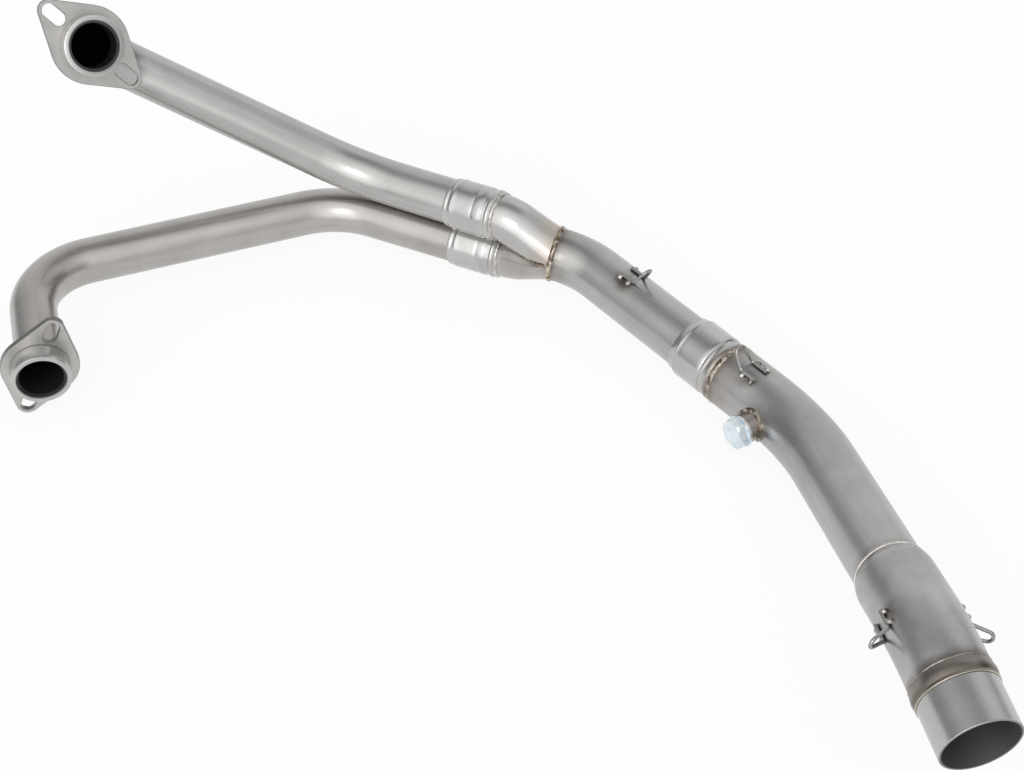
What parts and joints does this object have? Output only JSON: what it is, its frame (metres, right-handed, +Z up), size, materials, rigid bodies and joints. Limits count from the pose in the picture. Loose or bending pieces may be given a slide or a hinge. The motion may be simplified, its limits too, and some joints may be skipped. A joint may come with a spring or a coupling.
{
  "type": "exhaust manifold",
  "caption": "Two-into-one stainless exhaust manifold for a motorbike, with slotted port flanges, slip joints, spring hooks and a sensor boss.",
  "frame": {"origin": "under the middle of the part's box, on the surface it rests on", "axes": "+Z up as it lies at rest, +X from the port flanges towards the outlet, +Y away from the outlet's open end"},
  "size_m": [0.7337, 0.6469, 0.2811],
  "materials": {
    "header_steel": "satin stainless tube with long faint drawing marks",
    "end_steel": "satin stainless tube, slightly mottled",
    "socket_steel": "turned stainless",
    "flange_steel": "laser-cut plate, tumbled",
    "collar_steel": "turned stainless",
    "weld_bead": "rippled weld with straw and brown heat tint",
    "hook_wire": "drawn wire, bright",
    "boss_steel": "turned, slightly darkened by heat",
    "plug_zinc": "bluish bright zinc plating",
    "washer_metal": "plain sealing washer"
  },
  "bodies": {
    "root": {"upper_flange": "flange_steel", "upper_port_collar": "collar_steel", "upper_port_weld": "weld_bead", "upper_header_tube": "header_steel", "upper_slip_socket": "socket_steel", "upper_socket_weld": "weld_bead", "lower_flange": "flange_steel", "lower_port_collar": "collar_steel", "lower_port_weld": "weld_bead", "lower_header_tube": "header_steel", "lower_slip_socket": "socket_steel", "lower_socket_weld": "weld_bead", "upper_collector_inlet": "header_steel", "lower_collector_inlet": "header_steel", "collector_tube": "header_steel", "collector_ring_weld": "weld_bead", "collector_seam_weld": "weld_bead", "mid_slip_socket": "socket_steel", "mid_socket_weld": "weld_bead", "link_tube": "header_steel", "sensor_boss": "boss_steel", "sensor_boss_weld": "weld_bead", "plug_washer": "washer_metal", "blanking_plug": "plug_zinc", "end_tube": "end_steel", "shoulder_weld": "weld_bead", "end_band": "end_steel", "band_weld": "weld_bead", "outlet_sleeve": "end_steel", "collector_hook": "hook_wire", "collector_hook_weld": "weld_bead", "link_hook": "hook_wire", "link_hook_weld": "weld_bead", "left_end_hook": "hook_wire", "left_end_hook_weld": "weld_bead", "right_end_hook": "hook_wire", "right_end_hook_weld": "weld_bead"}
  },
  "joints": []
}
